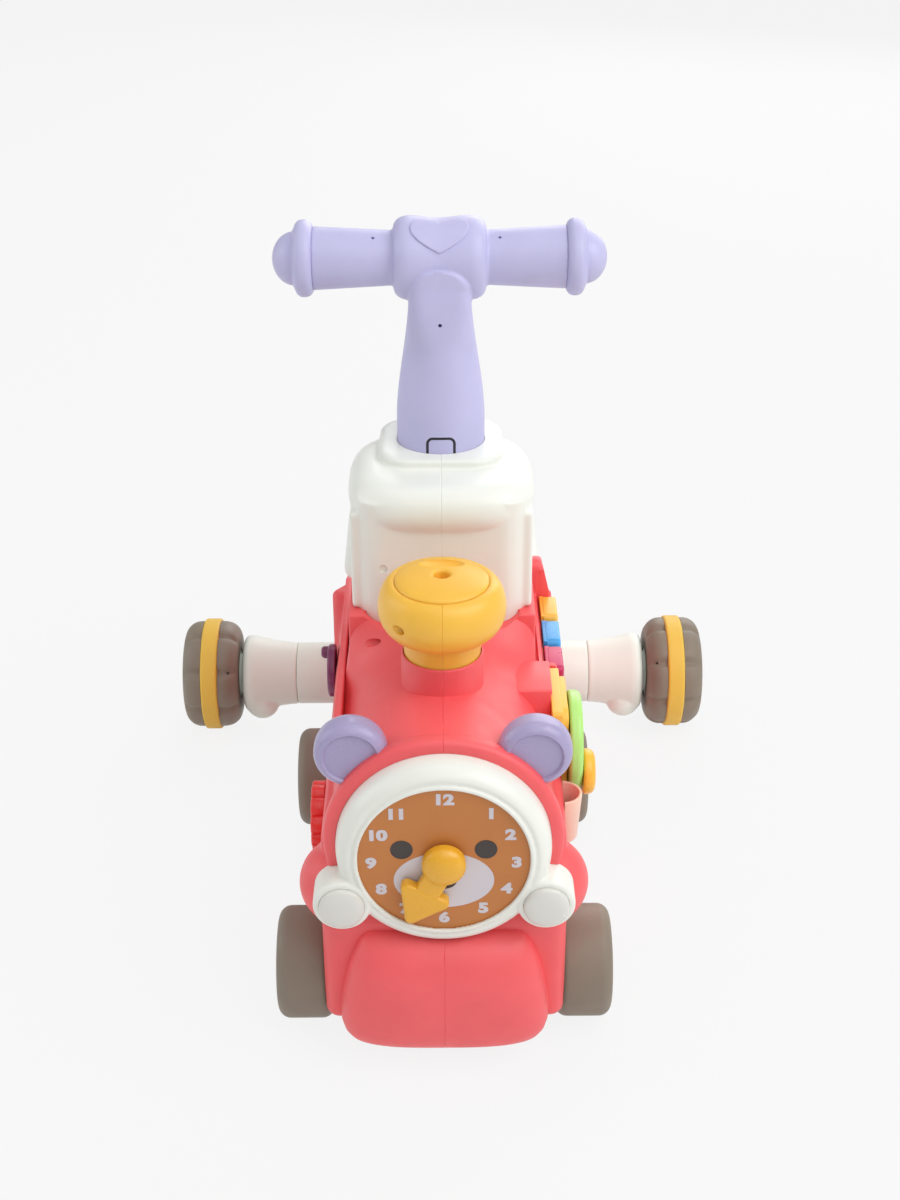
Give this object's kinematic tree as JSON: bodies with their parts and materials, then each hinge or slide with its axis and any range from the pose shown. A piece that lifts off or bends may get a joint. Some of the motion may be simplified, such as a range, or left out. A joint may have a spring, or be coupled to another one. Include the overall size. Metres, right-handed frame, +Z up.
{
  "type": "ride-on train",
  "caption": "Child's ride-on train with a push handle, clock face with a turning hand, press-down chimney, side toys and outrigger rear wheels",
  "frame": {"origin": "centre of the footprint on the floor", "axes": "the front faces -Y, +X is on the right of someone looking at the front, +Z up"},
  "size_m": [0.426, 0.471, 0.4847],
  "materials": {
    "coral_shell": "moulded, satin gloss",
    "white_shell": "moulded, satin gloss",
    "cream_shell": "moulded, satin",
    "dial_brown": "printed face",
    "lens_grey": "smooth lens",
    "ear_lavender": "moulded",
    "handle_lavender": "moulded, satin",
    "chimney_yellow": "moulded",
    "hand_yellow": "moulded",
    "wheel_taupe": "moulded, dull",
    "band_yellow": "soft grip band",
    "toy_yellow": "moulded",
    "toy_magenta": "moulded",
    "toy_blue": "moulded",
    "toy_green": "moulded",
    "toy_orange": "moulded",
    "toy_red": "moulded",
    "toy_purple": "moulded",
    "toy_peach": "moulded",
    "black_plastic": "moulded",
    "steel": "drawn wire and rod",
    "board_green": "laminate",
    "pad_rubber": "silicone"
  },
  "bodies": {
    "train": {"body_left": "coral_shell", "body_right": "coral_shell", "battery_cover": "coral_shell", "clock_bezel": "white_shell", "cab_left": "white_shell", "cab_right": "white_shell", "seat": "white_shell", "leg_sleeve_left": "cream_shell", "leg_sleeve_right": "cream_shell", "leg_boot_left": "cream_shell", "leg_boot_right": "cream_shell", "clock_dial": "dial_brown", "headlight_lens_left": "lens_grey", "headlight_lens_right": "lens_grey", "ear_left": "ear_lavender", "ear_right": "ear_lavender", "axle_caps": "wheel_taupe", "rear_axle_caps": "wheel_taupe", "crank_plate": "toy_yellow", "side_cup": "toy_peach", "speaker": "black_plastic", "battery_box": "black_plastic", "front_axle": "steel", "middle_axle": "steel", "rear_axle_left": "steel", "rear_axle_right": "steel", "toy_axles": "steel", "shell_screws": "steel", "circuit_board": "board_green", "key_pad": "pad_rubber"},
    "clock_hand": {"clock_hand": "hand_yellow", "hand_clip": "steel"},
    "chimney": {"chimney_left": "chimney_yellow", "chimney_right": "chimney_yellow", "chimney_cap": "chimney_yellow", "chimney_spring": "steel"},
    "handle": {"handle_front": "handle_lavender", "handle_rear": "handle_lavender", "grip_end_left": "handle_lavender", "grip_end_right": "handle_lavender"},
    "release_button": {"handle_button": "handle_lavender", "button_slider": "black_plastic"},
    "crank": {"crank_wheel": "toy_green", "crank_knob": "toy_orange"},
    "gear": {"gear_red": "toy_red"},
    "purple_dial": {"spin_dial": "toy_purple"},
    "front_wheel_left": {"front_wheel_left": "wheel_taupe"},
    "middle_wheel_left": {"middle_wheel_left": "wheel_taupe"},
    "rear_wheel_left": {"rear_tyre_left": "wheel_taupe", "rear_band_left": "band_yellow", "rear_hub_left": "cream_shell"},
    "front_wheel_right": {"front_wheel_right": "wheel_taupe"},
    "middle_wheel_right": {"middle_wheel_right": "wheel_taupe"},
    "rear_wheel_right": {"rear_tyre_right": "wheel_taupe", "rear_band_right": "band_yellow", "rear_hub_right": "cream_shell"},
    "key_magenta": {"key_magenta": "toy_magenta"},
    "key_blue": {"key_blue": "toy_blue"},
    "key_yellow": {"key_yellow": "toy_yellow"}
  },
  "joints": [
    {"name": "front_wheel_left_roll", "type": "hinge", "parent": "train", "child": "front_wheel_left", "pos_m": [-0.0915, -0.1635, 0.037], "axis": [1, 0, 0], "continuous": true},
    {"name": "middle_wheel_left_roll", "type": "hinge", "parent": "train", "child": "middle_wheel_left", "pos_m": [-0.0915, 0.0515, 0.037], "axis": [1, 0, 0], "continuous": true},
    {"name": "rear_wheel_left_roll", "type": "hinge", "parent": "train", "child": "rear_wheel_left", "pos_m": [-0.1905, 0.1895, 0.046], "axis": [1, 0, 0], "continuous": true},
    {"name": "front_wheel_right_roll", "type": "hinge", "parent": "train", "child": "front_wheel_right", "pos_m": [0.0915, -0.1635, 0.037], "axis": [1, 0, 0], "continuous": true},
    {"name": "middle_wheel_right_roll", "type": "hinge", "parent": "train", "child": "middle_wheel_right", "pos_m": [0.0915, 0.0515, 0.037], "axis": [1, 0, 0], "continuous": true},
    {"name": "rear_wheel_right_roll", "type": "hinge", "parent": "train", "child": "rear_wheel_right", "pos_m": [0.1905, 0.1895, 0.046], "axis": [1, 0, 0], "continuous": true},
    {"name": "hand_turn", "type": "hinge", "parent": "train", "child": "clock_hand", "pos_m": [0, -0.2205, 0.164], "axis": [0, 1, 0], "continuous": true},
    {"name": "crank_turn", "type": "hinge", "parent": "train", "child": "crank", "pos_m": [0.0866, -0.1035, 0.173], "axis": [1, 0, 0], "continuous": true},
    {"name": "gear_turn", "type": "hinge", "parent": "train", "child": "gear", "pos_m": [-0.0826, -0.1195, 0.124], "axis": [1, 0, 0], "continuous": true},
    {"name": "purple_dial_turn", "type": "hinge", "parent": "train", "child": "purple_dial", "pos_m": [-0.0811, 0.0365, 0.142], "axis": [1, 0, 0], "continuous": true},
    {"name": "chimney_press", "type": "slide", "parent": "train", "child": "chimney", "axis": [0, 0, -1], "range_m": [0, 0.004], "stiffness_N_per_m": 900, "springref_m": -0.003, "deforming": ["chimney_spring"]},
    {"name": "handle_lift", "type": "slide", "parent": "train", "child": "handle", "axis": [0, 0.1736, 0.9848], "range_m": [0, 0.06]},
    {"name": "button_press", "type": "slide", "parent": "handle", "child": "release_button", "axis": [0, 0.9848, -0.1736], "range_m": [0, 0.0025], "stiffness_N_per_m": 600, "springref_m": -0.002},
    {"name": "key_magenta_press", "type": "slide", "parent": "train", "child": "key_magenta", "axis": [-1, 0, 0], "range_m": [0, 0.0025], "stiffness_N_per_m": 500, "springref_m": -0.002},
    {"name": "key_blue_press", "type": "slide", "parent": "train", "child": "key_blue", "axis": [-1, 0, 0], "range_m": [0, 0.0025], "stiffness_N_per_m": 500, "springref_m": -0.002},
    {"name": "key_yellow_press", "type": "slide", "parent": "train", "child": "key_yellow", "axis": [-1, 0, 0], "range_m": [0, 0.0025], "stiffness_N_per_m": 500, "springref_m": -0.002}
  ]
}
